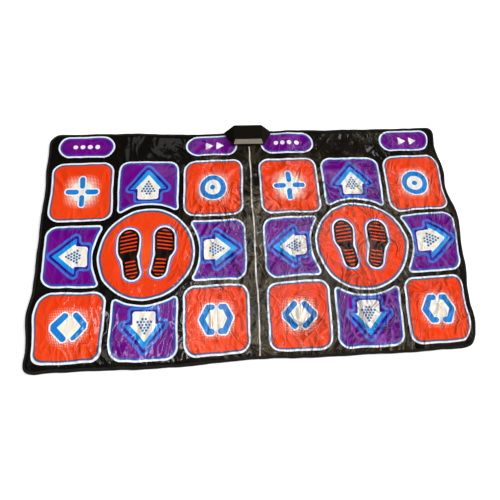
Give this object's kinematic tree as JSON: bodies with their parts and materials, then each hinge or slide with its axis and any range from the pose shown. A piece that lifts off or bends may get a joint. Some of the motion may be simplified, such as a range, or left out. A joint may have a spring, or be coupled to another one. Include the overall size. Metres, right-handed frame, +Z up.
{
  "type": "dance mat controller",
  "caption": "Twin soft dance mat with printed step pads over pressure switches, layered foam and contact film, a taped edge and a controller box on its back edge.",
  "frame": {"origin": "on the floor, under the centre of the mat's outline", "axes": "+X along the mat's long side, from the first player's half to the second's; +Y towards the back edge that carries the controller box; +Z up"},
  "size_m": [1.65, 0.9633, 0.0345],
  "materials": {
    "black_vinyl": "gloss",
    "orange_vinyl": "gloss",
    "purple_vinyl": "gloss",
    "edge_tape": "matte",
    "woven_backing": "matte",
    "white_foam": "matte",
    "contact_film": "satin",
    "carbon_ink": "matte",
    "black_plastic": "satin",
    "grey_plastic": "satin",
    "board_green": "satin",
    "chip_black": "satin",
    "gland_rubber": "matte",
    "zinc_steel": "satin"
  },
  "bodies": {
    "mat": {"backing_sheet": "woven_backing", "base_foam": "white_foam", "lower_contact_film": "contact_film", "spacer_foam": "white_foam", "top_sheet": "black_vinyl", "edge_binding": "edge_tape", "p1_home_disc": "orange_vinyl", "p2_home_disc": "orange_vinyl", "box_base": "black_plastic", "box_cover": "black_plastic", "front_panel": "grey_plastic", "circuit_board": "board_green", "controller_chip": "chip_black", "ribbon_tail": "contact_film", "left_cable_gland": "gland_rubber", "right_cable_gland": "gland_rubber", "cover_screw_1": "zinc_steel", "cover_screw_2": "zinc_steel", "cover_screw_3": "zinc_steel", "cover_screw_4": "zinc_steel"},
    "p1_up": {"p1_up_pad": "purple_vinyl", "p1_up_contact": "carbon_ink"},
    "p1_down": {"p1_down_pad": "purple_vinyl", "p1_down_contact": "carbon_ink"},
    "p1_left": {"p1_left_pad": "purple_vinyl", "p1_left_contact": "carbon_ink"},
    "p1_right": {"p1_right_pad": "purple_vinyl", "p1_right_contact": "carbon_ink"},
    "p1_back_left": {"p1_back_left_pad": "orange_vinyl", "p1_back_left_contact": "carbon_ink"},
    "p1_back_right": {"p1_back_right_pad": "orange_vinyl", "p1_back_right_contact": "carbon_ink"},
    "p1_front_left": {"p1_front_left_pad": "orange_vinyl", "p1_front_left_contact": "carbon_ink"},
    "p1_front_right": {"p1_front_right_pad": "orange_vinyl", "p1_front_right_contact": "carbon_ink"},
    "p1_select": {"p1_select_pad": "purple_vinyl", "p1_select_contact": "carbon_ink"},
    "p1_start": {"p1_start_pad": "purple_vinyl", "p1_start_contact": "carbon_ink"},
    "p2_up": {"p2_up_pad": "purple_vinyl", "p2_up_contact": "carbon_ink"},
    "p2_down": {"p2_down_pad": "purple_vinyl", "p2_down_contact": "carbon_ink"},
    "p2_left": {"p2_left_pad": "purple_vinyl", "p2_left_contact": "carbon_ink"},
    "p2_right": {"p2_right_pad": "purple_vinyl", "p2_right_contact": "carbon_ink"},
    "p2_back_left": {"p2_back_left_pad": "orange_vinyl", "p2_back_left_contact": "carbon_ink"},
    "p2_back_right": {"p2_back_right_pad": "orange_vinyl", "p2_back_right_contact": "carbon_ink"},
    "p2_front_left": {"p2_front_left_pad": "orange_vinyl", "p2_front_left_contact": "carbon_ink"},
    "p2_front_right": {"p2_front_right_pad": "orange_vinyl", "p2_front_right_contact": "carbon_ink"},
    "p2_select": {"p2_select_pad": "purple_vinyl", "p2_select_contact": "carbon_ink"},
    "p2_start": {"p2_start_pad": "purple_vinyl", "p2_start_contact": "carbon_ink"}
  },
  "joints": [
    {"name": "p1_up_press", "type": "slide", "parent": "mat", "child": "p1_up", "axis": [0, 0, 1], "range_m": [-0.0016, 0], "stiffness_N_per_m": 4000, "springref_m": 0.0005},
    {"name": "p1_down_press", "type": "slide", "parent": "mat", "child": "p1_down", "axis": [0, 0, 1], "range_m": [-0.0016, 0], "stiffness_N_per_m": 4000, "springref_m": 0.0005},
    {"name": "p1_left_press", "type": "slide", "parent": "mat", "child": "p1_left", "axis": [0, 0, 1], "range_m": [-0.0016, 0], "stiffness_N_per_m": 4000, "springref_m": 0.0005},
    {"name": "p1_right_press", "type": "slide", "parent": "mat", "child": "p1_right", "axis": [0, 0, 1], "range_m": [-0.0016, 0], "stiffness_N_per_m": 4000, "springref_m": 0.0005},
    {"name": "p1_back_left_press", "type": "slide", "parent": "mat", "child": "p1_back_left", "axis": [0, 0, 1], "range_m": [-0.0016, 0], "stiffness_N_per_m": 4000, "springref_m": 0.0005},
    {"name": "p1_back_right_press", "type": "slide", "parent": "mat", "child": "p1_back_right", "axis": [0, 0, 1], "range_m": [-0.0016, 0], "stiffness_N_per_m": 4000, "springref_m": 0.0005},
    {"name": "p1_front_left_press", "type": "slide", "parent": "mat", "child": "p1_front_left", "axis": [0, 0, 1], "range_m": [-0.0016, 0], "stiffness_N_per_m": 4000, "springref_m": 0.0005},
    {"name": "p1_front_right_press", "type": "slide", "parent": "mat", "child": "p1_front_right", "axis": [0, 0, 1], "range_m": [-0.0016, 0], "stiffness_N_per_m": 4000, "springref_m": 0.0005},
    {"name": "p1_select_press", "type": "slide", "parent": "mat", "child": "p1_select", "axis": [0, 0, 1], "range_m": [-0.0016, 0], "stiffness_N_per_m": 4000, "springref_m": 0.0005},
    {"name": "p1_start_press", "type": "slide", "parent": "mat", "child": "p1_start", "axis": [0, 0, 1], "range_m": [-0.0016, 0], "stiffness_N_per_m": 4000, "springref_m": 0.0005},
    {"name": "p2_up_press", "type": "slide", "parent": "mat", "child": "p2_up", "axis": [0, 0, 1], "range_m": [-0.0016, 0], "stiffness_N_per_m": 4000, "springref_m": 0.0005},
    {"name": "p2_down_press", "type": "slide", "parent": "mat", "child": "p2_down", "axis": [0, 0, 1], "range_m": [-0.0016, 0], "stiffness_N_per_m": 4000, "springref_m": 0.0005},
    {"name": "p2_left_press", "type": "slide", "parent": "mat", "child": "p2_left", "axis": [0, 0, 1], "range_m": [-0.0016, 0], "stiffness_N_per_m": 4000, "springref_m": 0.0005},
    {"name": "p2_right_press", "type": "slide", "parent": "mat", "child": "p2_right", "axis": [0, 0, 1], "range_m": [-0.0016, 0], "stiffness_N_per_m": 4000, "springref_m": 0.0005},
    {"name": "p2_back_left_press", "type": "slide", "parent": "mat", "child": "p2_back_left", "axis": [0, 0, 1], "range_m": [-0.0016, 0], "stiffness_N_per_m": 4000, "springref_m": 0.0005},
    {"name": "p2_back_right_press", "type": "slide", "parent": "mat", "child": "p2_back_right", "axis": [0, 0, 1], "range_m": [-0.0016, 0], "stiffness_N_per_m": 4000, "springref_m": 0.0005},
    {"name": "p2_front_left_press", "type": "slide", "parent": "mat", "child": "p2_front_left", "axis": [0, 0, 1], "range_m": [-0.0016, 0], "stiffness_N_per_m": 4000, "springref_m": 0.0005},
    {"name": "p2_front_right_press", "type": "slide", "parent": "mat", "child": "p2_front_right", "axis": [0, 0, 1], "range_m": [-0.0016, 0], "stiffness_N_per_m": 4000, "springref_m": 0.0005},
    {"name": "p2_select_press", "type": "slide", "parent": "mat", "child": "p2_select", "axis": [0, 0, 1], "range_m": [-0.0016, 0], "stiffness_N_per_m": 4000, "springref_m": 0.0005},
    {"name": "p2_start_press", "type": "slide", "parent": "mat", "child": "p2_start", "axis": [0, 0, 1], "range_m": [-0.0016, 0], "stiffness_N_per_m": 4000, "springref_m": 0.0005}
  ]
}
